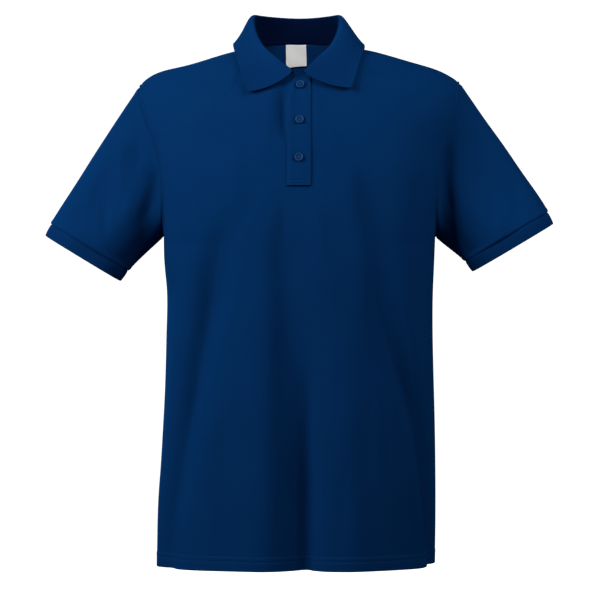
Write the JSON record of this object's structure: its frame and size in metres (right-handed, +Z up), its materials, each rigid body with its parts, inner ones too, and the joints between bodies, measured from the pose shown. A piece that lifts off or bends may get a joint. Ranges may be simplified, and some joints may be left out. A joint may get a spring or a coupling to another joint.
{
  "type": "polo shirt",
  "caption": "Short-sleeved knitted polo shirt with a ribbed fold-over collar and cuffs and a buttoned placket, filled out as worn, with its neck, hem and cuffs open.",
  "frame": {"origin": "middle of the neck opening, level with the neck ends of the shoulder seams, where the shirt is worn", "axes": "+Z up towards the collar, +X to the wearer's left, the front and its placket face -Y"},
  "size_m": [0.6946, 0.2502, 0.7581],
  "materials": {
    "pique": "navy cotton pique knit, matt",
    "rib": "navy flat-knitted rib, matt",
    "button": "navy, slightly glossy",
    "label": "plain white woven tape"
  },
  "bodies": {
    "root": {"front": "pique", "back": "pique", "sleeve_right": "pique", "sleeve_left": "pique", "cuff_right": "rib", "cuff_left": "rib", "collar": "rib", "placket_top": "pique", "placket_under": "pique", "button_1": "button", "button_2": "button", "button_3": "button", "label": "label"}
  },
  "joints": []
}
